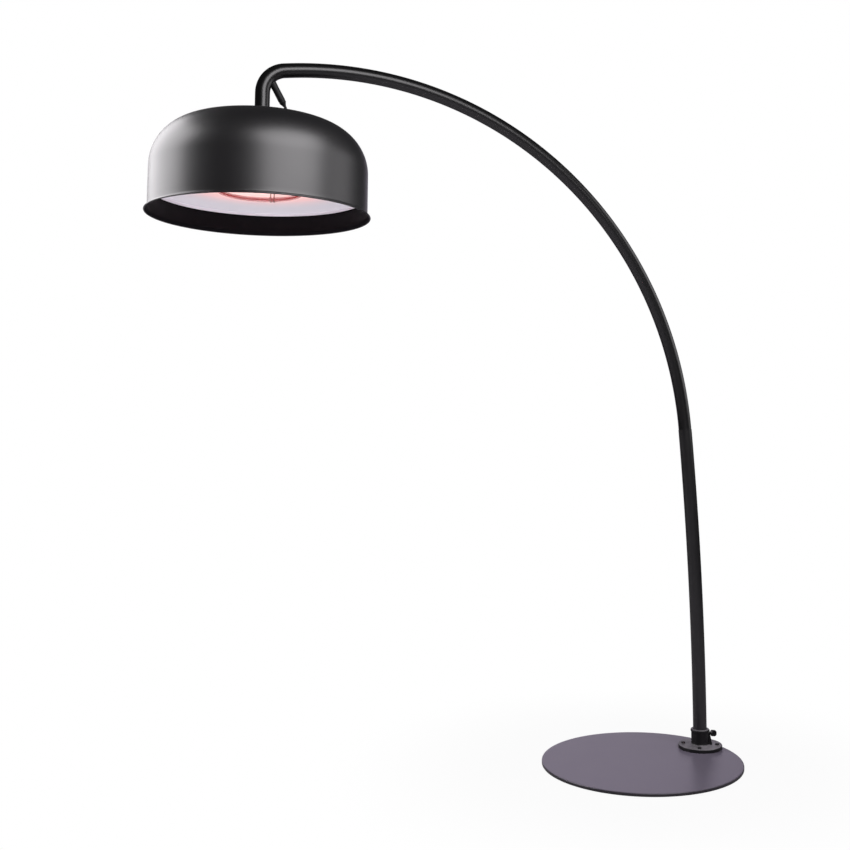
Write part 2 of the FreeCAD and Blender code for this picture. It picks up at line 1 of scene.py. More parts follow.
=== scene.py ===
import bpy
import math
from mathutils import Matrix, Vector


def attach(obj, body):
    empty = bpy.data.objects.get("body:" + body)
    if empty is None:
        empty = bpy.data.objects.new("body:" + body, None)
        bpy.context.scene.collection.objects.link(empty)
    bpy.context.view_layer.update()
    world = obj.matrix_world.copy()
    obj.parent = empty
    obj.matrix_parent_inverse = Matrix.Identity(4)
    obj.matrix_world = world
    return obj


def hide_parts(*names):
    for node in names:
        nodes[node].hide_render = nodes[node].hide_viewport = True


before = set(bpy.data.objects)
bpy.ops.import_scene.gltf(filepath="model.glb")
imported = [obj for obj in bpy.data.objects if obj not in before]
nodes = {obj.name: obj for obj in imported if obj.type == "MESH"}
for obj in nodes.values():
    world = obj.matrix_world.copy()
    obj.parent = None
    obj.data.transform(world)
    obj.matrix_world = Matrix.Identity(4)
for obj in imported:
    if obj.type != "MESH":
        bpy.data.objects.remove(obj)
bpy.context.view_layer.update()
print("frame loaded,", len(nodes), "CAD nodes")

# where the arm stands, in metres and degrees
arm = dict(footX=0.212, turn=-8.9, headX=-1.03223, headY=0.19484, rimZ=1.41582)
up = Vector((0, 0, 1))
armAlong = Vector((math.cos(math.radians(arm["turn"])), math.sin(math.radians(arm["turn"])), 0))
armAcross = armAlong.cross(up)  # the bends of the tube turn about this
headAxis = Vector((arm["headX"], arm["headY"], 0))
footAxis = Vector((arm["footX"], 0, 0))


# hand tools
nearby = 0.0001  # a point this near counts as on the edge that is picked
levelNormal = 0.999  # a face whose normal is this upright counts as level
mergeGap = 0.00001
smoothTube, smoothCast, smoothCoil = 35, 40, 70  # degrees, up to which an edge is shaded smooth


def pickNothing():
    if bpy.context.mode != "OBJECT":
        bpy.ops.object.mode_set(mode="OBJECT")
    bpy.ops.object.select_all(action="DESELECT")


def editAll():
    bpy.ops.object.mode_set(mode="EDIT")
    bpy.ops.mesh.select_mode(type="VERT")
    bpy.ops.mesh.select_all(action="SELECT")


def pickOnly(obj):
    pickNothing()
    obj.select_set(True)
    bpy.context.view_layer.objects.active = obj


def freeze():
    # puts the object's place, turn and scale into its mesh
    bpy.ops.object.transform_apply(location=True, rotation=True, scale=True)


def smooth(angle):
    bpy.ops.object.shade_smooth_by_angle(angle=math.radians(angle))


def settle(name, smoothAngle=smoothCast):
    # merged, facing outwards, at the origin with its place in the mesh
    obj = bpy.context.object
    obj.name = name
    obj.data.name = name
    editAll()
    bpy.ops.mesh.remove_doubles(threshold=mergeGap)
    bpy.ops.mesh.normals_make_consistent(inside=False)
    bpy.ops.object.mode_set(mode="OBJECT")
    freeze()
    smooth(smoothAngle)
    return obj


def applyModifier(obj, kind, **settings):
    pickOnly(obj)
    mod = obj.modifiers.new(kind.lower(), kind)
    for key, value in settings.items():
        setattr(mod, key, value)
    bpy.ops.object.modifier_apply(modifier=mod.name)


def spunOutline(profile, centre, steps):
    # one point is drawn out along the profile, then spun about the upright axis
    pickNothing()
    start = Vector((profile[0][0], 0, profile[0][1])) + centre
    bpy.ops.mesh.primitive_plane_add(size=0.001, location=start)
    editAll()
    bpy.ops.mesh.merge(type="CENTER")
    for (r0, z0), (r1, z1) in zip(profile, profile[1:]):
        bpy.ops.mesh.extrude_region_move(TRANSFORM_OT_translate={"value": (r1 - r0, 0, z1 - z0)})
    bpy.ops.mesh.select_all(action="SELECT")
    bpy.ops.mesh.spin(steps=steps, angle=2 * math.pi, center=centre, axis=(0, 0, 1))
    bpy.ops.object.mode_set(mode="OBJECT")


def moveTo(obj, place, heading):
    # stands a piece that was modelled upright at the origin on its place, along a heading
    pickOnly(obj)
    freeze()
    obj.location = place
    obj.rotation_euler = heading.to_track_quat("Z", "Y").to_euler()


def unite(obj, other, operation="UNION"):
    # joins another solid to this one, or cuts it out
    applyModifier(obj, "BOOLEAN", object=other, operation=operation, solver="MANIFOLD")
    bpy.data.objects.remove(other)
    pickOnly(obj)


def pickEdges(test):
    # picks the edges whose two ends both pass the test
    bpy.ops.mesh.select_mode(type="EDGE")
    bpy.ops.mesh.select_all(action="DESELECT")
    bpy.ops.object.mode_set(mode="OBJECT")
    mesh = bpy.context.object.data
    for edge in mesh.edges:
        edge.select = all(test(mesh.vertices[v].co) for v in edge.vertices)
    bpy.ops.object.mode_set(mode="EDIT")


def roundEdges(test, radius, steps):
    # bevels the edges that pass the test
    pickEdges(test)
    bpy.ops.mesh.bevel(offset=radius, segments=steps, affect="EDGES")


def pickLevelFaces():
    # picks the faces that look straight up or down
    bpy.ops.mesh.select_mode(type="FACE")
    bpy.ops.mesh.select_all(action="DESELECT")
    bpy.ops.object.mode_set(mode="OBJECT")
    for face in bpy.context.object.data.polygons:
        face.select = abs(face.normal.z) > levelNormal
    bpy.ops.object.mode_set(mode="EDIT")


def roughDisc(piece, radius):
    # a disc between the low and high of a piece's settings, open for editing
    pickNothing()
    bpy.ops.mesh.primitive_cylinder_add(vertices=piece["around"], radius=radius, depth=piece["high"] - piece["low"],
                                        location=(0, 0, (piece["high"] + piece["low"]) / 2))
    freeze()
    bpy.ops.object.mode_set(mode="EDIT")


def roughBlock(size, place=(0, 0, 0)):
    # a block of that size, open for editing
    pickNothing()
    bpy.ops.mesh.primitive_cube_add(size=1)
    block = bpy.context.object
    block.dimensions = size
    block.location = place
    freeze()
    bpy.ops.object.mode_set(mode="EDIT")
    return block


def arcPoints(centreR, centreZ, radius, startAngle, endAngle, count):
    points = []
    for i in range(count + 1):
        angle = math.radians(startAngle + (endAngle - startAngle) * i / count)
        points.append((centreR + radius * math.cos(angle), centreZ + radius * math.sin(angle)))
    return points


def bendTube(centre, degrees, steps):
    # the open end of the tube goes on round a bend; spin counts clockwise turns
    bpy.ops.mesh.spin(steps=steps, angle=-math.radians(degrees), center=centre, axis=armAcross)


# shader groups

def newGroup(name, inputs, outputs):
    group = bpy.data.node_groups.new(name, "ShaderNodeTree")
    for label, kind, value in inputs:
        socket = group.interface.new_socket(name=label, in_out="INPUT", socket_type=kind)
        socket.default_value = value
    for label, kind in outputs:
        group.interface.new_socket(name=label, in_out="OUTPUT", socket_type=kind)
    return group, group.nodes.new("NodeGroupInput"), group.nodes.new("NodeGroupOutput")


def mathNode(tree, operation, first, second=None, clamp=False):
    node = tree.nodes.new("ShaderNodeMath")
    node.operation = operation
    node.use_clamp = clamp
    for index, value in enumerate((first, second)):
        if value is None:
            continue
        if isinstance(value, (int, float)):
            node.inputs[index].default_value = value
        else:
            tree.links.new(value, node.inputs[index])
    return node.outputs[0]


def rampNode(tree, value, low, high, toLow=0.0, toHigh=1.0):
    node = tree.nodes.new("ShaderNodeMapRange")
    node.interpolation_type = "SMOOTHSTEP"
    tree.links.new(value, node.inputs["Value"])
    for label, number in (("From Min", low), ("From Max", high), ("To Min", toLow), ("To Max", toHigh)):
        node.inputs[label].default_value = number
    return node.outputs["Result"]


def noiseNode(tree, vector, scale, detail=2.0, rough=0.5):
    node = tree.nodes.new("ShaderNodeTexNoise")
    node.inputs["Detail"].default_value = detail
    node.inputs["Roughness"].default_value = rough
    if isinstance(scale, (int, float)):
        node.inputs["Scale"].default_value = scale
    else:
        tree.links.new(scale, node.inputs["Scale"])
    tree.links.new(vector, node.inputs["Vector"])
    return node.outputs["Fac"]


peelLook = dict(detail=3.0, rough=0.6, share=0.6)  # share is how far the peel shows in the tone
driftLook = dict(scale=9.0, detail=4.0, rough=0.55)
noiseMiddle = 0.5


def makeCoatGrain():
    # the fine orange peel of a baked powder coat, and its slow drift of sheen and tone
    group, start, end = newGroup(
        "coatGrain",
        [("Grain Scale", "NodeSocketFloat", 900.0), ("Sheen", "NodeSocketFloat", 0.45),
         ("Sheen Drift", "NodeSocketFloat", 0.06), ("Tone", "NodeSocketColor", (0.02, 0.02, 0.02, 1)),
         ("Tone Drift", "NodeSocketFloat", 0.15)],
        [("Height", "NodeSocketFloat"), ("Roughness", "NodeSocketFloat"), ("Color", "NodeSocketColor")])
    place = group.nodes.new("ShaderNodeTexCoord").outputs["Object"]
    peel = noiseNode(group, place, start.outputs["Grain Scale"], peelLook["detail"], peelLook["rough"])
    drift = noiseNode(group, place, driftLook["scale"], driftLook["detail"], driftLook["rough"])
    swing = mathNode(group, "SUBTRACT", drift, noiseMiddle)
    rough = mathNode(group, "MULTIPLY_ADD", swing, start.outputs["Sheen Drift"])
    group.links.new(start.outputs["Sheen"], rough.node.inputs[2])
    grit = mathNode(group, "MULTIPLY", mathNode(group, "SUBTRACT", peel, noiseMiddle), peelLook["share"])
    speck = mathNode(group, "ADD", swing, grit)
    gain = mathNode(group, "MULTIPLY_ADD", speck, start.outputs["Tone Drift"])
    gain.node.inputs[2].default_value = 1.0
    tone = group.nodes.new("ShaderNodeVectorMath")
    tone.operation = "SCALE"
    group.links.new(start.outputs["Tone"], tone.inputs[0])
    group.links.new(gain, tone.inputs["Scale"])
    group.links.new(peel, end.inputs["Height"])
    group.links.new(rough, end.inputs["Roughness"])
    group.links.new(tone.outputs[0], end.inputs["Color"])
    return group


# bend is how far the rounded normal leaves the flat one, and patch breaks the rubbing up
rubLook = dict(samples=4, bendNone=0.995, bendFull=0.86, patchScale=160.0, patchDetail=4.0, patchRough=0.65,
               patchLow=0.38, patchHigh=0.62)


def makeEdgeRub():
    # where hands and boxes have rubbed the corners of a piece
    group, start, end = newGroup(
        "edgeRub",
        [("Width", "NodeSocketFloat", 0.001), ("Amount", "NodeSocketFloat", 0.5)],
        [("Mask", "NodeSocketFloat")])
    bevel = group.nodes.new("ShaderNodeBevel")
    bevel.samples = rubLook["samples"]
    group.links.new(start.outputs["Width"], bevel.inputs["Radius"])
    normal = group.nodes.new("ShaderNodeNewGeometry").outputs["Normal"]
    dot = group.nodes.new("ShaderNodeVectorMath")
    dot.operation = "DOT_PRODUCT"
    group.links.new(bevel.outputs[0], dot.inputs[0])
    group.links.new(normal, dot.inputs[1])
    corner = rampNode(group, dot.outputs["Value"], rubLook["bendNone"], rubLook["bendFull"])
    place = group.nodes.new("ShaderNodeTexCoord").outputs["Object"]
    patch = noiseNode(group, place, rubLook["patchScale"], rubLook["patchDetail"], rubLook["patchRough"])
    broken = rampNode(group, patch, rubLook["patchLow"], rubLook["patchHigh"])
    mask = mathNode(group, "MULTIPLY", mathNode(group, "MULTIPLY", corner, broken), start.outputs["Amount"], True)
    group.links.new(mask, end.inputs["Mask"])
    return group


dustAndToplightLook = dict(tiltNone=0.35, tiltFull=0.98, cloudScale=14.0, cloudDetail=5.0, cloudRough=0.6, cloudLow=0.35,
                cloudHigh=0.75, thinnest=0.3)


def makeDustAndPaintedToplight():
    # a thin film on what faces up: dust where the amount is small, and painted light from above where it is large
    group, start, end = newGroup(
        "dustAndPaintedToplight", [("Amount", "NodeSocketFloat", 0.2)], [("Mask", "NodeSocketFloat")])
    split = group.nodes.new("ShaderNodeSeparateXYZ")
    group.links.new(group.nodes.new("ShaderNodeNewGeometry").outputs["Normal"], split.inputs[0])
    upward = rampNode(group, split.outputs["Z"], dustAndToplightLook["tiltNone"], dustAndToplightLook["tiltFull"])
    place = group.nodes.new("ShaderNodeTexCoord").outputs["Object"]
    cloud = noiseNode(group, place, dustAndToplightLook["cloudScale"], dustAndToplightLook["cloudDetail"], dustAndToplightLook["cloudRough"])
    cloud = rampNode(group, cloud, dustAndToplightLook["cloudLow"], dustAndToplightLook["cloudHigh"], toLow=dustAndToplightLook["thinnest"])
    mask = mathNode(group, "MULTIPLY", mathNode(group, "MULTIPLY", upward, cloud), start.outputs["Amount"], True)
    group.links.new(mask, end.inputs["Mask"])
    return group


def makePaintedLightBand():
    # a soft band round an upright axis, for painted shade on a rim or in a crease, and for a painted glow
    group, start, end = newGroup(
        "paintedLightBand",
        [("Axis", "NodeSocketVector", (0, 0, 0)), ("Radius", "NodeSocketFloat", 0.1),
         ("Width", "NodeSocketFloat", 0.01), ("Amount", "NodeSocketFloat", 1.0)],
        [("Mask", "NodeSocketFloat")])
    place = group.nodes.new("ShaderNodeTexCoord").outputs["Object"]
    away = group.nodes.new("ShaderNodeVectorMath")
    away.operation = "SUBTRACT"
    group.links.new(place, away.inputs[0])
    group.links.new(start.outputs["Axis"], away.inputs[1])
    level = group.nodes.new("ShaderNodeVectorMath")
    level.operation = "MULTIPLY"
    level.inputs[1].default_value = (1, 1, 0)  # leaves the height out
    group.links.new(away.outputs[0], level.inputs[0])
    reach = group.nodes.new("ShaderNodeVectorMath")
    reach.operation = "LENGTH"
    group.links.new(level.outputs[0], reach.inputs[0])
    off = mathNode(group, "ABSOLUTE", mathNode(group, "SUBTRACT", reach.outputs["Value"], start.outputs["Radius"]))
    near = mathNode(group, "SUBTRACT", 1.0, mathNode(group, "DIVIDE", off, start.outputs["Width"]), True)
    mask = mathNode(group, "MULTIPLY", mathNode(group, "MULTIPLY", near, near), start.outputs["Amount"], True)
    group.links.new(mask, end.inputs["Mask"])
    return group


coatGrain = makeCoatGrain()
edgeRub = makeEdgeRub()
dustAndPaintedToplight = makeDustAndPaintedToplight()
paintedLightBand = makePaintedLightBand()


# finishes

def placeGroup(tree, group, **values):
    node = tree.nodes.new("ShaderNodeGroup")
    node.node_tree = group
    for label, value in values.items():
        node.inputs[label.replace("_", " ")].default_value = value
    return node


def mixColor(tree, mask, first, second):
    node = tree.nodes.new("ShaderNodeMix")
    node.data_type = "RGBA"
    tree.links.new(mask, node.inputs["Factor"])
    # in colour mode the node's sockets are inputs 6 and 7 and output 2
    for socket, value in ((node.inputs[6], first), (node.inputs[7], second)):
        if isinstance(value, tuple):
            socket.default_value = value
        else:
            tree.links.new(value, socket)
    return node.outputs[2]


def newFinish(name):
    material = bpy.data.materials.new(name)
    material.use_nodes = True
    tree = material.node_tree
    return material, tree, tree.nodes["Principled BSDF"]


def coatedFinish(name, tone, sheen, grain=900.0, bump=0.05, depth=0.0002, drift=0.06, toneDrift=0.15, rub=0.0,
                 rubWidth=0.001, rubTone=(0.25, 0.25, 0.26, 1), dustAndToplight=0.0, dustAndToplightTone=(0.34, 0.33, 0.32, 1),
                 specular=0.5, metallic=0.0, paintedLightBands=(), glow=None):
    material, tree, shader = newFinish(name)
    grainNode = placeGroup(tree, coatGrain, Grain_Scale=grain, Sheen=sheen, Sheen_Drift=drift, Tone=tone,
                           Tone_Drift=toneDrift)
    color = grainNode.outputs["Color"]
    if rub:
        rubNode = placeGroup(tree, edgeRub, Width=rubWidth, Amount=rub)
        color = mixColor(tree, rubNode.outputs["Mask"], color, rubTone)
    # lighter on what faces up: a little dust, and painted light from above where the amount is large
    if dustAndToplight:
        dustAndToplightNode = placeGroup(tree, dustAndPaintedToplight, Amount=dustAndToplight)
        color = mixColor(tree, dustAndToplightNode.outputs["Mask"], color, dustAndToplightTone)
    # bands paint shade, or the element's glow, in a ring round an upright axis
    for band in paintedLightBands:
        bandNode = placeGroup(tree, paintedLightBand, Axis=band["axis"], Radius=band["radius"], Width=band["width"],
                              Amount=band["amount"])
        color = mixColor(tree, bandNode.outputs["Mask"], color, band["tone"])
    # glow paints the element's light on the surface as emission, though the surface is no lamp
    if glow:
        glowNode = placeGroup(tree, paintedLightBand, Axis=glow["axis"], Radius=glow["radius"], Width=glow["width"],
                              Amount=1.0)
        heat = mixColor(tree, glowNode.outputs["Mask"], (0, 0, 0, 1), glow["tone"])
        tree.links.new(heat, shader.inputs["Emission Color"])
        shader.inputs["Emission Strength"].default_value = glow["strength"]
    tree.links.new(color, shader.inputs["Base Color"])
    tree.links.new(grainNode.outputs["Roughness"], shader.inputs["Roughness"])
    bumpNode = tree.nodes.new("ShaderNodeBump")
    bumpNode.inputs["Strength"].default_value = bump
    bumpNode.inputs["Distance"].default_value = depth
    tree.links.new(grainNode.outputs["Height"], bumpNode.inputs["Height"])
    tree.links.new(bumpNode.outputs["Normal"], shader.inputs["Normal"])
    shader.inputs["Specular IOR Level"].default_value = specular
    shader.inputs["Metallic"].default_value = metallic
    return material


# the red tone and the glow paint the coil's light on the glass
quartzLook = dict(grain=60.0, sheen=0.08, drift=0.05, tone=(0.39, 0.062, 0.064, 1), toneDrift=0.15, glow=0.3,
                  ior=1.46, alpha=0.22)


def quartzFinish():
    # clear tube with the coil's red glow painted into its tone and emission; its alpha counts for each of the four
    # walls looked through
    material, tree, shader = newFinish("quartzGlass")
    grainNode = placeGroup(tree, coatGrain, Grain_Scale=quartzLook["grain"], Sheen=quartzLook["sheen"],
                           Sheen_Drift=quartzLook["drift"], Tone=quartzLook["tone"],
                           Tone_Drift=quartzLook["toneDrift"])
    tree.links.new(grainNode.outputs["Color"], shader.inputs["Base Color"])
    tree.links.new(grainNode.outputs["Roughness"], shader.inputs["Roughness"])
    tree.links.new(grainNode.outputs["Color"], shader.inputs["Emission Color"])
    shader.inputs["Emission Strength"].default_value = quartzLook["glow"]
    shader.inputs["IOR"].default_value = quartzLook["ior"]
    shader.inputs["Alpha"].default_value = quartzLook["alpha"]
    return material


fibreLook = dict(patchScale=220.0, patchLow=0.3, patchHigh=0.7, dull=(0.13, 0.012, 0.014, 1),
                 bright=(0.28, 0.03, 0.028, 1), unlit=(0.04, 0.01, 0.01, 1))


def glowFinish():
    # the carbon fibre, a dull red with brighter patches
    material, tree, shader = newFinish("glowingFibre")
    place = tree.nodes.new("ShaderNodeTexCoord").outputs["Object"]
    patch = noiseNode(tree, place, fibreLook["patchScale"])
    heat = rampNode(tree, patch, fibreLook["patchLow"], fibreLook["patchHigh"])
    color = mixColor(tree, heat, fibreLook["dull"], fibreLook["bright"])
    tree.links.new(color, shader.inputs["Emission Color"])
    shader.inputs["Base Color"].default_value = fibreLook["unlit"]
    shader.inputs["Emission Strength"].default_value = 1.0
    return material


finishes = dict(
    shadeCoat=coatedFinish("shadeCoat", (0.0028, 0.0025, 0.0034, 1), 0.40, grain=1300.0, bump=0.06, drift=0.04,
                           specular=1.0),
    tubeCoat=coatedFinish("tubeCoat", (0.004, 0.0038, 0.0045, 1), 0.32, grain=1500.0, bump=0.02, drift=0.06,
                          specular=0.9),
    baseCoat=coatedFinish("baseCoat", (0.119, 0.104, 0.140, 1), 0.36, grain=1100.0, bump=0.06, drift=0.05,
                          dustAndToplight=0.03, specular=0.65,
                          # painted shade: the plate's upright edge is darkened, as it lies out of the lamps' light
                          paintedLightBands=[dict(axis=(0, 0, 0), radius=0.2715, width=0.0035, amount=3.0,
                                      tone=(0.012, 0.01, 0.014, 1))]),
    # the large upward amount paints light from above on the tops of the flange and the thumb screw, with some dust
    castCoat=coatedFinish("castCoat", (0.005, 0.0045, 0.0055, 1), 0.42, grain=420.0, bump=0.15, depth=0.0004,
                          drift=0.1, dustAndToplight=0.65, dustAndToplightTone=(0.36, 0.34, 0.37, 1), specular=0.4),
    blackOxide=coatedFinish("blackOxide", (0.011, 0.0105, 0.012, 1), 0.40, grain=1800.0, bump=0.05, drift=0.12,
                            rub=0.25, rubWidth=0.0006, rubTone=(0.12, 0.115, 0.11, 1), specular=0.5),
    platedSteel=coatedFinish("platedSteel", (0.52, 0.52, 0.54, 1), 0.3, grain=700.0, bump=0.05, drift=0.18,
                             toneDrift=0.2, metallic=1.0),
    reflectorWhite=coatedFinish(
        "reflectorWhite", (0.76, 0.735, 0.785, 1), 0.38, grain=800.0, bump=0.05, drift=0.06, toneDrift=0.04,
        # painted shade in the crease of the bend near the pan's edge
        paintedLightBands=[dict(axis=headAxis, radius=0.2535, width=0.0022, amount=0.5, tone=(0.42, 0.39, 0.47, 1)),
               # painted light: a pink band where the glowing element lights the pan
               dict(axis=headAxis, radius=0.115, width=0.118, amount=4.0, tone=(1.0, 0.62, 0.60, 1))],
        # painted glow of the element on the pan, as emission; the pan is no lamp
        glow=dict(axis=headAxis, radius=0.120, width=0.100, tone=(1.0, 0.75, 0.66, 1), strength=0.5)),
    shadeInside=coatedFinish("shadeInside", (0.0028, 0.0024, 0.0034, 1), 0.6, grain=1300.0, bump=0.08, drift=0.05,
                             specular=0.15),
    clipSteel=coatedFinish("clipSteel", (0.30, 0.19, 0.16, 1), 0.4, grain=900.0, bump=0.06, drift=0.15,
                           toneDrift=0.3, metallic=1.0),
    blackRubber=coatedFinish("blackRubber", (0.005, 0.005, 0.0056, 1), 0.58, grain=1400.0, bump=0.12, drift=0.1,
                             dustAndToplight=0.03, specular=0.3),
    blackPlastic=coatedFinish("blackPlastic", (0.014, 0.014, 0.015, 1), 0.5, grain=1000.0, bump=0.1, drift=0.08),
    padSheet=coatedFinish("padSheet", (0.02, 0.02, 0.02, 1), 0.8, grain=600.0, bump=0.3, drift=0.1),
    ceramic=coatedFinish("ceramic", (0.78, 0.75, 0.7, 1), 0.6, grain=900.0, bump=0.12, toneDrift=0.08),
    leadSleeve=coatedFinish("leadSleeve", (0.6, 0.57, 0.5, 1), 0.75, grain=1600.0, bump=0.4, depth=0.0003,
                            toneDrift=0.25),
    quartz=quartzFinish(),
    glow=glowFinish(),
)
finishOf = dict(
    base_plate="baseCoat", base_pad="padSheet", socket="castCoat", flange_bolts="blackOxide",
    clamp_screw="castCoat", pole_tube="tubeCoat", arc_tube="tubeCoat", foot_cap="blackPlastic",
    cord_grommet="blackRubber", joint_sleeve="platedSteel", end_plug="platedSteel", top_washer="blackOxide",
    lead_boot="blackRubber", head_lead="blackRubber", shade_gland="blackPlastic", gland_nut="blackPlastic",
    shade="shadeCoat", backing_plate="platedSteel", lock_nut="platedSteel", reflector="reflectorWhite",
    reflector_posts="platedSteel", reflector_screws="platedSteel", quartz_tube="quartz", filament="glow",
    element_caps="ceramic", element_clips="clipSteel", element_leads="leadSleeve", terminal_block="ceramic",
    thermal_cutout="ceramic", tip_switch="blackPlastic",
)


def dress(obj, finish):
    obj.data.materials.clear()
    obj.data.materials.append(finishes[finish])


for name, finish in finishOf.items():
    dress(nodes[name], finish)
print("finishes set on", len(finishOf), "nodes")


def standFor(obj, node, body):
    dress(obj, finishOf[node])
    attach(obj, body)
    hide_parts(node)


# camera, fitted to the photograph
camera = dict(place=(-1.9334, -2.3120, 0.8949), pitch=5.86, heading=-33.41, lens=45.385, sensor=36,
              shift=(-0.1065, -0.1235), farthest=60)


def setCamera():
    bpy.ops.object.camera_add(location=camera["place"], rotation=(
        math.radians(90 + camera["pitch"]), 0, math.radians(camera["heading"])))
    cam = bpy.context.object
    cam.name = "photoCamera"
    cam.data.lens = camera["lens"]
    cam.data.sensor_width = camera["sensor"]
    cam.data.shift_x, cam.data.shift_y = camera["shift"]
    cam.data.clip_end = camera["farthest"]
    bpy.context.scene.camera = cam


setCamera()
print("camera set")

# lead from the hook into the shade, and its rubber boot
leadExit = (-1.00679, 0.19086, 1.75311)  # in the middle of the tube, where lead and boot begin
headLead = dict(
    diameter=0.007, length=0.26, exit=leadExit, stepsPerPoint=24, roundness=6,
    route=(leadExit, (-0.98101, 0.18682, 1.70698), (-0.97128, 0.1853, 1.68958), (-0.97128, 0.1853, 1.61394),
           (-0.92355, 0.17782, 1.56563), (-0.92355, 0.17782, 1.51932)))


def layHeadLead():
    data = bpy.data.curves.new("headLead", "CURVE")
    data.dimensions = "3D"
    spline = data.splines.new("NURBS")
    spline.points.add(len(headLead["route"]) - 1)
    for point, place in zip(spline.points, headLead["route"]):
        point.co = (*place, 1)
    spline.order_u = 3
    spline.use_endpoint_u = True
    spline.resolution_u = headLead["stepsPerPoint"]
    data.bevel_depth = headLead["diameter"] / 2
    data.bevel_resolution = headLead["roundness"]
    data.use_fill_caps = True
    piece = bpy.data.objects.new("headLead", data)
    bpy.context.scene.collection.objects.link(piece)
    standFor(piece, "head_lead", "arm")


boot = dict(root=leadExit, tip=(-0.97566, 0.18598, 1.69741), around=48, bore=0.0035, profile=(
    (0.0090, -0.009), (0.0090, 0.004), (0.0086, 0.014), (0.0087, 0.026), (0.0088, 0.038), (0.0087, 0.0455),
    (0.0081, 0.0470), (0.0081, 0.0480), (0.0086, 0.0490), (0.0086, 0.0506), (0.0078, 0.0520), (0.0063, 0.0550),
    (0.0051, 0.0574), (0.0044, 0.0592), (0.0041, 0.0604), (0.0038, 0.0608)))


def modelBoot():
    # sleeve with a slight belly, one bead and a nose that closes on the lead
    first, last = boot["profile"][0], boot["profile"][-1]
    profile = [(boot["bore"], first[1])] + list(boot["profile"]) + [(boot["bore"], last[1])]
    spunOutline(profile + profile[:1], Vector((0, 0, 0)), boot["around"])
    moveTo(bpy.context.object, Vector(boot["root"]), Vector(boot["tip"]) - Vector(boot["root"]))
    standFor(settle("leadBoot"), "lead_boot", "arm")


layHeadLead()
modelBoot()
print("lead and boot made")

# pole and arm tubes
pole = dict(radius=0.019, wall=0.0015, footZ=0.017, straightTop=0.081, bowRadius=9.90537, lean=4.72, around=64,
            bowSteps=24)
bowCentre = footAxis - armAlong * pole["bowRadius"] + up * pole["straightTop"]  # the pole is bowed about this


def finishTube(name, wall, node):
    # gives the tube its wall and sets it in place of its node
    tube = settle(name, smoothTube)
    applyModifier(tube, "SOLIDIFY", thickness=wall, offset=-1)
    smooth(smoothTube)
    standFor(tube, node, "arm")


def modelPole():
    pickNothing()
    bpy.ops.mesh.primitive_circle_add(vertices=pole["around"], radius=pole["radius"],
                                      location=footAxis + up * pole["footZ"])
    editAll()
    bpy.ops.mesh.extrude_region_move(TRANSFORM_OT_translate={"value": up * (pole["straightTop"] - pole["footZ"])})
    bendTube(bowCentre, pole["lean"], pole["bowSteps"])
    finishTube("poleTube", pole["wall"], "pole_tube")


arcArm = dict(radius=0.01825, wall=0.0015, bendRadius=0.994, bendTurn=95.85, hookRadius=0.0647, tail=0.061,
              around=64, bendSteps=160, hookSteps=48)


def outwardAt(degrees):
    # from the middle of a bend to the tube, in the arm's upright plane
    return armAlong * math.cos(math.radians(degrees)) + up * math.sin(math.radians(degrees))


def modelArc():
    outward = outwardAt(pole["lean"])
    start = bowCentre + outward * pole["bowRadius"]
    pickNothing()
    heading = armAcross.cross(outward)  # the way the tube runs at its lower end
    bpy.ops.mesh.primitive_circle_add(vertices=arcArm["around"], radius=arcArm["radius"], location=start,
                                      rotation=heading.to_track_quat("Z", "Y").to_euler())
    editAll()
    arcCentre = start - outward * arcArm["bendRadius"]
    bendTube(arcCentre, arcArm["bendTurn"], arcArm["bendSteps"])
    bendEnd = pole["lean"] + arcArm["bendTurn"]
    hookCentre = arcCentre + outwardAt(bendEnd) * (arcArm["bendRadius"] - arcArm["hookRadius"])
    bendTube(hookCentre, 180 - bendEnd, arcArm["hookSteps"])
    bpy.ops.mesh.extrude_region_move(TRANSFORM_OT_translate={"value": -up * arcArm["tail"]})
    finishTube("arcTube", arcArm["wall"], "arc_tube")


modelPole()
modelArc()
print("pole and arm tubes modelled")

# base plate
plate = dict(radius=0.27, low=0.002, high=0.010, topRound=0.002, topSteps=4, lowRound=0.0008, lowSteps=2,
             holdIn=0.004, around=256)


def modelBasePlate():
    roughDisc(plate, plate["radius"])
    roundEdges(lambda co: co.z > plate["high"] - nearby, plate["topRound"], plate["topSteps"])
    roundEdges(lambda co: co.z < plate["low"] + nearby, plate["lowRound"], plate["lowSteps"])
    pickLevelFaces()
    bpy.ops.mesh.inset(thickness=plate["holdIn"])  # keeps the flat faces flat beside the rounded edge
    standFor(settle("basePlate"), "base_plate", "base")


# cast socket
clampTurn = math.radians(-45)
clampWay = Vector((math.cos(clampTurn), math.sin(clampTurn), 0))  # from the pole towards the thumb screw
clampZ = 0.0505
socket = dict(low=0.010, lowChamfer=0.0006, flangeR=0.061, flangeTop=0.0195, flangeRound=0.002, flangeSteps=6,
              collarR=0.0245, rootRound=0.005, rootSteps=8, headR=0.0261, headLow=0.0530, top=0.0615,
              topRound=0.0036, topSteps=8, boreR=0.01905, boreChamfer=0.0009, floorZ=0.013, around=128,
              headSwell=((0, 0), (0.35, 0.0009), (0.8, 0.0021), (1, 0.0034)))  # shares of the swell, and heights
clampBoss = dict(radius=0.009, start=0.0205, reach=0.027, mouthRound=0.0012, around=48, steps=3)
clampRib = dict(reach=0.034, width=0.010, sink=0.002, edgeRound=0.0014, steps=3)


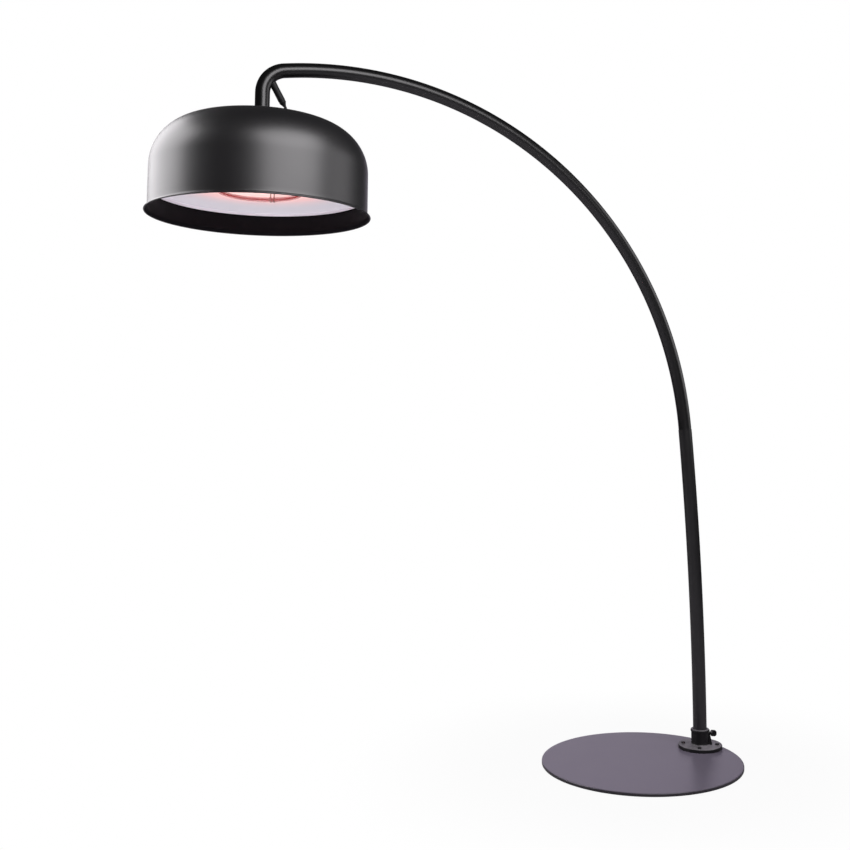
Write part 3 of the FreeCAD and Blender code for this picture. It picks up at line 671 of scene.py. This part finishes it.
def modelBoss():
    # boss for the clamp screw, with a rounded mouth
    pickNothing()
    bpy.ops.mesh.primitive_cylinder_add(vertices=clampBoss["around"], radius=clampBoss["radius"],
                                        depth=clampBoss["reach"] - clampBoss["start"])
    bpy.ops.object.mode_set(mode="EDIT")
    roundEdges(lambda co: co.z > 0, clampBoss["mouthRound"], clampBoss["steps"])
    bpy.ops.object.mode_set(mode="OBJECT")
    middle = (clampBoss["reach"] + clampBoss["start"]) / 2
    moveTo(bpy.context.object, clampWay * middle + up * clampZ, clampWay)
    return settle("boss")


def modelRib():
    # rib from the boss down to the flange, which reaches further out at its foot
    low = socket["flangeTop"] - clampRib["sink"]
    rib = roughBlock((clampBoss["reach"] - clampBoss["start"], clampRib["width"], clampZ - low),
                     ((clampBoss["reach"] + clampBoss["start"]) / 2, 0, (clampZ + low) / 2))
    outer = clampBoss["reach"] - nearby
    pickEdges(lambda co: co.x > outer and co.z < low + nearby)
    bpy.ops.transform.translate(value=(clampRib["reach"] - clampBoss["reach"], 0, 0))
    roundEdges(lambda co: co.x > outer, clampRib["edgeRound"], clampRib["steps"])
    bpy.ops.object.mode_set(mode="OBJECT")
    rib.rotation_euler = (0, 0, clampTurn)
    return settle("rib")


def modelSocket():
    s = socket
    brim = s["flangeR"] - s["flangeRound"]
    root = s["collarR"] + s["rootRound"]
    profile = [(0, s["low"]), (s["flangeR"] - s["lowChamfer"], s["low"]),
               (s["flangeR"], s["low"] + s["lowChamfer"])]
    profile += arcPoints(brim, s["flangeTop"] - s["flangeRound"], s["flangeRound"], 0, 90, s["flangeSteps"])
    profile += arcPoints(root, s["flangeTop"] + s["rootRound"], s["rootRound"], 270, 180, s["rootSteps"])
    swell = s["headR"] - s["collarR"]
    profile += [(s["collarR"] + swell * share, s["headLow"] + rise) for share, rise in s["headSwell"]]
    profile += arcPoints(s["headR"] - s["topRound"], s["top"] - s["topRound"], s["topRound"], 0, 90, s["topSteps"])
    profile += [(s["boreR"] + s["boreChamfer"], s["top"]), (s["boreR"], s["top"] - s["boreChamfer"]),
                (s["boreR"], s["floorZ"]), (0, s["floorZ"])]
    spunOutline(profile, Vector((0, 0, 0)), s["around"])
    body = settle("socketBody")
    unite(body, modelBoss())
    unite(body, modelRib())
    body.location = footAxis
    standFor(settle("castSocket"), "socket", "base")


# socket-head bolts
bolt = dict(circleR=0.047, first=45, count=4, headR=0.0055, low=0.0195, high=0.0235, headRound=0.0016, headSteps=4,
            drive=0.004, driveDepth=0.002, driveSides=6, unevenTurn=2.3, around=40)


def modelBolts():
    roughDisc(bolt, bolt["headR"])
    roundEdges(lambda co: co.z > bolt["high"] - nearby, bolt["headRound"], bolt["headSteps"])
    bpy.ops.object.mode_set(mode="OBJECT")
    head = bpy.context.object
    pickNothing()
    bpy.ops.mesh.primitive_cylinder_add(vertices=bolt["driveSides"], radius=bolt["drive"] / math.sqrt(3),
                                        depth=2 * bolt["driveDepth"], location=(0, 0, bolt["high"]))
    unite(head, bpy.context.object, "DIFFERENCE")
    heads = []
    for i in range(bolt["count"]):
        turn = math.radians(bolt["first"] + 360 * i / bolt["count"])
        copy = head.copy()
        copy.data = head.data.copy()
        bpy.context.scene.collection.objects.link(copy)
        copy.location = footAxis + Vector((math.cos(turn), math.sin(turn), 0)) * bolt["circleR"]
        copy.rotation_euler = (0, 0, turn * bolt["unevenTurn"])  # no two are tightened to the same turn
        heads.append(copy)
    bpy.data.objects.remove(head)
    pickOnly(heads[0])
    for copy in heads:
        copy.select_set(True)
    bpy.ops.object.join()
    standFor(settle("flangeBolts"), "flange_bolts", "base")


# thumb screw
thumb = dict(tip=0.0200, tipChamfer=0.001, shankR=0.004, threadPitch=0.0012, threadDepth=0.0005, hubStart=0.0288,
             hubR=0.0066, hubLength=0.006, hubChamfer=0.0006, hubRound=0.001, around=40, end=0.046)
paddle = dict(halfHeight=0.0085, thickness=0.0045, outerRound=0.0068, innerRound=0.0045, cornerSteps=10,
              rimRound=0.0012, rimSteps=3, hollowIn=0.0026, hollow=0.0009)


def modelPaddle():
    # flat grip with round corners and a shallow hollow on both faces
    half = (thumb["end"] - thumb["hubStart"]) / 2
    grip = roughBlock((2 * paddle["halfHeight"], 2 * half, paddle["thickness"]))
    for end, corner in ((1, "outerRound"), (-1, "innerRound")):
        for side in (1, -1):
            roundEdges(lambda co: co.x * side > paddle["halfHeight"] - nearby and co.y * end > half - nearby,
                       paddle[corner], paddle["cornerSteps"])
    pickLevelFaces()
    bpy.ops.mesh.inset(thickness=paddle["hollowIn"], depth=-paddle["hollow"])
    roundEdges(lambda co: abs(abs(co.z) - paddle["thickness"] / 2) < nearby, paddle["rimRound"], paddle["rimSteps"])
    bpy.ops.object.mode_set(mode="OBJECT")
    grip.rotation_euler = (math.radians(90), 0, math.radians(90))  # its length along z and its height along y
    grip.location = (0, 0, thumb["hubStart"] + half)
    return settle("paddle")


def modelThumbScrew():
    t = thumb
    pitch = t["threadPitch"]
    thread = t["tip"] + t["tipChamfer"]
    profile = [(0, t["tip"]), (t["shankR"] - t["tipChamfer"], t["tip"]), (t["shankR"], thread)]
    while thread < t["hubStart"] - pitch:  # a few turns of thread, drawn as rings
        profile += [(t["shankR"], thread + pitch / 6), (t["shankR"] - t["threadDepth"], thread + pitch / 2),
                    (t["shankR"], thread + pitch * 5 / 6)]
        thread += pitch
    hubEnd = t["hubStart"] + t["hubLength"]
    profile += [(t["shankR"], t["hubStart"]), (t["hubR"] - t["hubChamfer"], t["hubStart"]),
                (t["hubR"], t["hubStart"] + t["hubChamfer"]), (t["hubR"], hubEnd - t["hubRound"]),
                (t["hubR"] - t["hubRound"], hubEnd), (0, hubEnd)]
    spunOutline(profile, Vector((0, 0, 0)), t["around"])
    screw = settle("screwBody")
    unite(screw, modelPaddle())
    moveTo(screw, footAxis + up * clampZ, clampWay)  # laid on its side, with the paddle upright
    standFor(settle("thumbScrew"), "clamp_screw", "clamp_screw")


modelBasePlate()
modelSocket()
modelBolts()
modelThumbScrew()
print("base plate, socket, bolts and thumb screw modelled")


# shade
shade = dict(radius=0.2625, height=0.247, shoulder=0.12, crownRise=0.0165, sheet=0.0012, lipReach=0.0065,
             lipHeight=0.01, bead=0.002, beadFrom=200, beadTo=430, beadSteps=12, lipSteps=8, wallSteps=12,
             shoulderSteps=28, crownSteps=14, around=256)


def shadeProfile():
    s = shade
    dome = s["shoulder"] + s["crownRise"]
    wallTop = s["height"] - dome
    shoulderR = s["radius"] - s["shoulder"]
    crownR = (shoulderR ** 2 + dome ** 2 - s["shoulder"] ** 2) / (2 * s["crownRise"])
    join = math.degrees(math.atan2(wallTop - (s["height"] - crownR), shoulderR))
    drop = s["lipHeight"] - s["bead"]
    flare = (s["lipReach"] ** 2 + drop ** 2) / (2 * s["lipReach"])
    flareTurn = math.degrees(math.atan2(drop, flare - s["lipReach"]))
    beadR = s["radius"] + s["lipReach"] - s["sheet"] / 2
    profile = arcPoints(beadR, s["bead"], s["bead"], s["beadFrom"], s["beadTo"], s["beadSteps"])  # the rolled bead
    profile += arcPoints(s["radius"] + flare, s["lipHeight"], flare, 180 + flareTurn, 180, s["lipSteps"])[1:]
    wall = wallTop - s["lipHeight"]
    profile += [(s["radius"], s["lipHeight"] + wall * i / s["wallSteps"]) for i in range(1, s["wallSteps"] + 1)]
    profile += arcPoints(shoulderR, wallTop, s["shoulder"], 0, join, s["shoulderSteps"])[1:]
    profile += arcPoints(0, s["height"] - crownR, crownR, join, 90, s["crownSteps"])[1:]
    return profile


def modelShade():
    spunOutline(shadeProfile(), headAxis + up * arm["rimZ"], shade["around"])
    bowl = settle("shade")
    standFor(bowl, "shade", "arm")
    bowl.data.materials.append(finishes["shadeInside"])  # the wall's inner face is duller
    applyModifier(bowl, "SOLIDIFY", thickness=shade["sheet"], offset=-1, material_offset=1)
    bowl.name = "spunShade"


modelShade()
print("shade modelled")

# heating coil in the quartz ring
coil = dict(ringR=0.100, z=1.47932, gapAt=236.1, halfGap=16.6, coilR=0.0014, wireR=0.0006, pitch=0.0019,
            stepsPerTurn=10, wireSides=6, ringSteps=240)


def coilRing():
    # the ring that the straight coil is bent along
    data = bpy.data.curves.new("coilRing", "CURVE")
    data.dimensions = "3D"
    data.use_path = True
    spline = data.splines.new("POLY")
    ring = arcPoints(arm["headX"], arm["headY"], coil["ringR"], coil["gapAt"] + coil["halfGap"],
                     coil["gapAt"] + 360 - coil["halfGap"], coil["ringSteps"])
    spline.points.add(len(ring) - 1)
    for point, (x, y) in zip(spline.points, ring):
        point.co = (x, y, coil["z"], 1)
    guide = bpy.data.objects.new("coilRing", data)
    bpy.context.scene.collection.objects.link(guide)
    return guide


def modelCoil():
    length = math.radians(360 - 2 * coil["halfGap"]) * coil["ringR"]
    pickNothing()
    bpy.ops.mesh.primitive_circle_add(vertices=coil["wireSides"], radius=coil["wireR"],
                                      location=(coil["coilR"], 0, 0), rotation=(math.radians(90), 0, 0))
    freeze()
    wire = bpy.context.object
    applyModifier(wire, "SCREW", axis="Z", angle=2 * math.pi, screw_offset=coil["pitch"],
                  iterations=int(length / coil["pitch"]), steps=coil["stepsPerTurn"],
                  render_steps=coil["stepsPerTurn"])
    editAll()
    bpy.ops.mesh.fill_holes(sides=coil["wireSides"])
    bpy.ops.object.mode_set(mode="OBJECT")
    guide = coilRing()
    applyModifier(wire, "CURVE", object=guide, deform_axis="POS_Z")
    bpy.data.objects.remove(guide)
    pickOnly(wire)
    standFor(settle("heatingCoil", smoothCoil), "filament", "arm")


modelCoil()


# floor, light and white surround
studio = dict(floor=40.0, floorZ=-0.0002, floorTone=(0.36, 0.35, 0.37, 1), floorRough=0.9, floorSpecular=0.1,
              nearGlow=0.95, nearRadius=0.3, farRadius=0.9, roomTone=0.04, wallTone=(0.92, 0.83, 1.0, 1),
              wallHeading=25.0, wallEdge=0.84, wallFull=0.945, wallTop=0.48, wallLow=0.26)


def seenDirectly(tree, light):
    return mathNode(tree, "MAXIMUM", light.outputs["Is Camera Ray"], light.outputs["Is Transmission Ray"])


def makeFloor():
    pickNothing()
    bpy.ops.mesh.primitive_plane_add(size=studio["floor"], location=(0, 0, studio["floorZ"]))
    floor = bpy.context.object
    floor.name = "studioFloor"
    material, tree, shader = newFinish("paleFloor")
    shader.inputs["Base Color"].default_value = studio["floorTone"]
    shader.inputs["Roughness"].default_value = studio["floorRough"]
    shader.inputs["Specular IOR Level"].default_value = studio["floorSpecular"]
    light = tree.nodes.new("ShaderNodeLightPath")
    seen = seenDirectly(tree, light)
    white = tree.nodes.new("ShaderNodeEmission")
    mix = tree.nodes.new("ShaderNodeMixShader")
    # the object's shadow is kept near its foot, and the floor is plain white further out
    away = tree.nodes.new("ShaderNodeVectorMath")
    away.operation = "LENGTH"
    tree.links.new(tree.nodes.new("ShaderNodeTexCoord").outputs["Object"], away.inputs[0])
    glow = rampNode(tree, away.outputs["Value"], studio["nearRadius"], studio["farRadius"], studio["nearGlow"], 1.0)
    tree.links.new(mathNode(tree, "MULTIPLY", seen, glow), mix.inputs[0])
    tree.links.new(shader.outputs[0], mix.inputs[1])
    tree.links.new(white.outputs[0], mix.inputs[2])
    tree.links.new(mix.outputs[0], tree.nodes["Material Output"].inputs["Surface"])
    floor.data.materials.append(material)


def makeSurround():
    # white where it is seen, and else a dim room; the coats mirror a pale lilac wall, low behind the object
    world = bpy.data.worlds.new("studioRoom")
    bpy.context.scene.world = world
    world.use_nodes = True
    tree = world.node_tree
    room = tree.nodes["Background"]
    white = tree.nodes.new("ShaderNodeBackground")
    white.inputs["Color"].default_value = (1, 1, 1, 1)
    room.inputs["Color"].default_value = (1, 1, 1, 1)
    room.inputs["Strength"].default_value = studio["roomTone"]
    light = tree.nodes.new("ShaderNodeLightPath")
    split = tree.nodes.new("ShaderNodeSeparateXYZ")
    way = tree.nodes.new("ShaderNodeTexCoord").outputs["Generated"]
    tree.links.new(way, split.inputs[0])
    behind = tree.nodes.new("ShaderNodeVectorMath")
    behind.operation = "DOT_PRODUCT"
    tree.links.new(way, behind.inputs[0])
    heading = math.radians(studio["wallHeading"])
    behind.inputs[1].default_value = (math.sin(heading), math.cos(heading), 0)
    wall = rampNode(tree, behind.outputs["Value"], studio["wallEdge"], studio["wallFull"])
    low = rampNode(tree, split.outputs["Z"], studio["wallTop"], studio["wallLow"])
    mirrored = mathNode(tree, "MULTIPLY", mathNode(tree, "MULTIPLY", wall, low), light.outputs["Is Glossy Ray"])
    lilac = tree.nodes.new("ShaderNodeBackground")
    lilac.inputs["Color"].default_value = studio["wallTone"]
    inRoom = tree.nodes.new("ShaderNodeMixShader")
    tree.links.new(mirrored, inRoom.inputs[0])
    tree.links.new(room.outputs[0], inRoom.inputs[1])
    tree.links.new(lilac.outputs[0], inRoom.inputs[2])
    mix = tree.nodes.new("ShaderNodeMixShader")
    tree.links.new(seenDirectly(tree, light), mix.inputs[0])
    tree.links.new(inRoom.outputs[0], mix.inputs[1])
    tree.links.new(white.outputs[0], mix.inputs[2])
    tree.links.new(mix.outputs[0], tree.nodes["World Output"].inputs["Surface"])


headMiddle = (-1.03, 0.19, 1.5)
softboxes = dict(
    front=dict(place=(-0.54, -2.26, 2.78), aim=headMiddle, size=(3.1, 2.35), watts=103, lights="allButArm"),
    left=dict(place=(-2.60, 1.73, 2.48), aim=headMiddle, size=(3.0, 2.0), watts=88, lights="allButArm"),
    arm=dict(place=(-1.004, -2.533, 2.381), aim=(-1.494, -0.043, 1.201), size=(1.9, 1.5), watts=38,
             lights="armOnly"),
    right=dict(place=(1.75, -0.92, 1.90), aim=(-0.2, 0.1, 1.3), size=(1.6, 1.8), watts=12),
    mouth=dict(place=(-1.3, -0.6, 0.12), aim=(-1.03, 0.25, 1.47), size=(0.8, 0.8), watts=4.2, spread=60),
)
lampTone = (1.0, 0.975, 1.0)  # a trace of lilac, as the greys in the photograph have


def flagArm():
    # flags keep the two large lamps off the arm tube, which has a smaller one of its own
    flags = {}
    for name, state in (("armOnly", "INCLUDE"), ("allButArm", "EXCLUDE")):
        flags[name] = bpy.data.collections.new(name)
        flags[name].objects.link(bpy.data.objects["arcTube"])
        flags[name].collection_objects[0].light_linking.link_state = state
    return flags


def hangSoftboxes():
    flags = flagArm()
    for name, box in softboxes.items():
        data = bpy.data.lights.new(name + "Softbox", "AREA")
        data.shape = "RECTANGLE"
        data.size, data.size_y = box["size"]
        data.energy = box["watts"]
        data.color = lampTone
        data.spread = math.radians(box.get("spread", 180))
        lamp = bpy.data.objects.new(name + "Softbox", data)
        bpy.context.scene.collection.objects.link(lamp)
        lamp.location = box["place"]
        lamp.rotation_euler = (Vector(box["aim"]) - lamp.location).to_track_quat("-Z", "Y").to_euler()
        lamp.visible_camera = False
        lamp.visible_glossy = name != "mouth"  # the fill under the shade isn't mirrored in the coat
        if "lights" in box:
            lamp.light_linking.receiver_collection = flags[box["lights"]]


makeFloor()
makeSurround()
hangSoftboxes()
bpy.context.scene.view_settings.view_transform = "Standard"
print("studio set")
